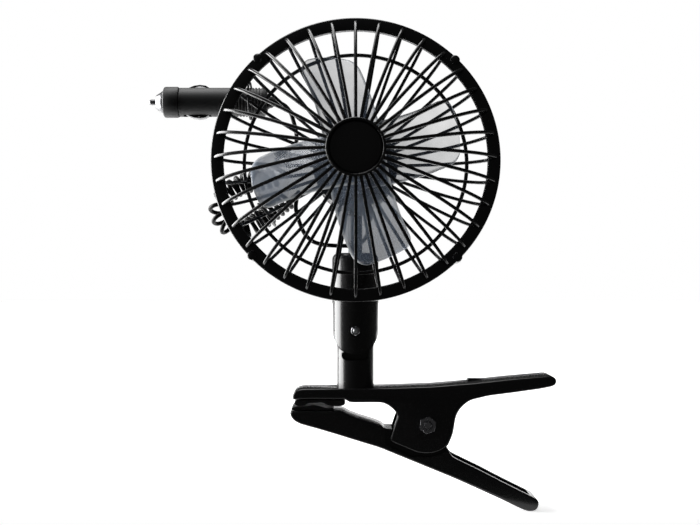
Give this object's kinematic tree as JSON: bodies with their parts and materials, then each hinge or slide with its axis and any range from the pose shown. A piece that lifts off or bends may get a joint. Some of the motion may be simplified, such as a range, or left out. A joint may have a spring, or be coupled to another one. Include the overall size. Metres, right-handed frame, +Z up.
{
  "type": "clip fan",
  "caption": "Small caged fan on a tilting, swivelling neck with a spring clamp, a curly cord and a round accessory plug; clear smoky blades, black ribs.",
  "frame": {"origin": "on the flat underside of the clamp's upper jaw, below the neck's axis", "axes": "+Z up along the neck, -Y the way the fan faces, -X the way the clamp's mouth opens"},
  "size_m": [0.2712, 0.1008, 0.3241],
  "materials": {
    "black_plastic": "near-black moulded plastic, satin gloss",
    "dull_plastic": "matt black plastic with a fine grain",
    "rubber": "soft matt black",
    "cord": "black flexible jacket, slight sheen",
    "smoke": "clear smoky blue-grey plastic",
    "steel": "plain zinc-plated steel",
    "bright_metal": "bright nickel plating",
    "brass": "plain brass",
    "clear": "clear glass tube"
  },
  "bodies": {
    "clamp": {"upper_lever": "black_plastic", "upper_jaw_pad": "rubber", "pivot_bolt": "steel", "pivot_nut": "steel", "spring_sleeve": "dull_plastic", "clamp_spring": "steel", "tilt_washer": "dull_plastic"},
    "lower": {"lower_lever": "black_plastic", "lower_jaw_pad": "rubber"},
    "neck": {"neck_body": "black_plastic", "tilt_bolt": "steel", "tilt_nut": "steel"},
    "rotor": {"impeller": "smoke", "motor_shaft": "steel"},
    "rocker": {"switch_rocker": "dull_plastic"},
    "plug_pin": {"plug_tip_pin": "bright_metal", "plug_fuse": "clear"},
    "contact_upper": {"plug_contact_upper": "bright_metal"},
    "contact_lower": {"plug_contact_lower": "bright_metal"},
    "head": {"swivel_washer": "steel", "swivel_screw": "steel", "front_cage": "black_plastic", "rear_cage": "black_plastic", "hub_cap": "black_plastic", "pod_housing": "black_plastic", "cage_screw_1": "steel", "cage_screw_2": "steel", "cage_screw_3": "steel", "cage_screw_4": "steel", "motor_can": "steel", "motor_end_cap": "dull_plastic", "motor_terminal_1": "brass", "motor_terminal_2": "brass", "motor_screw_1": "steel", "motor_screw_2": "steel", "pod_screw_1": "steel", "pod_screw_2": "steel", "switch_body": "dull_plastic", "cord_gland": "rubber", "cord_lead": "cord", "cord_curls": "cord", "cord_tail": "cord", "cord_tie_1": "dull_plastic", "cord_tie_2": "dull_plastic", "plug_tie": "dull_plastic", "plug_body": "dull_plastic", "plug_collar": "dull_plastic", "plug_nose": "bright_metal", "plug_boot": "rubber", "plug_spring": "steel"}
  },
  "joints": [
    {"name": "clamp_open", "type": "hinge", "parent": "clamp", "child": "lower", "pos_m": [0.0476, 0, -0.0145], "axis": [0, -1, 0], "range_deg": [0, 25], "stiffness_Nm_per_rad": 1.15, "springref_deg": -29.79, "deforming": ["clamp_spring"]},
    {"name": "neck_tilt", "type": "hinge", "parent": "clamp", "child": "neck", "pos_m": [0, 0, 0.0475], "axis": [0, 1, 0], "range_deg": [-45, 45]},
    {"name": "head_swivel", "type": "hinge", "parent": "neck", "child": "head", "pos_m": [0, 0, 0.0905], "axis": [0, 0, 1], "range_deg": [-90, 90]},
    {"name": "impeller_spin", "type": "hinge", "parent": "head", "child": "rotor", "pos_m": [0, -0.04, 0.16], "axis": [0, -0.9903, 0.1392], "continuous": true},
    {"name": "switch_rock", "type": "hinge", "parent": "head", "child": "rocker", "pos_m": [0, 0.02585, 0.15074], "axis": [1, 0, 0], "range_deg": [-16, 0]},
    {"name": "plug_pin_press", "type": "slide", "parent": "head", "child": "plug_pin", "axis": [1, 0, 0], "range_m": [0, 0.002], "stiffness_N_per_m": 800, "springref_m": -0.001, "deforming": ["plug_spring"]},
    {"name": "contact_upper_press", "type": "slide", "parent": "head", "child": "contact_upper", "axis": [0, -0.1392, -0.9903], "range_m": [0, 0.001], "stiffness_N_per_m": 600, "springref_m": -0.001},
    {"name": "contact_lower_press", "type": "slide", "parent": "head", "child": "contact_lower", "axis": [0, 0.1392, 0.9903], "range_m": [0, 0.001], "stiffness_N_per_m": 600, "springref_m": -0.001}
  ]
}
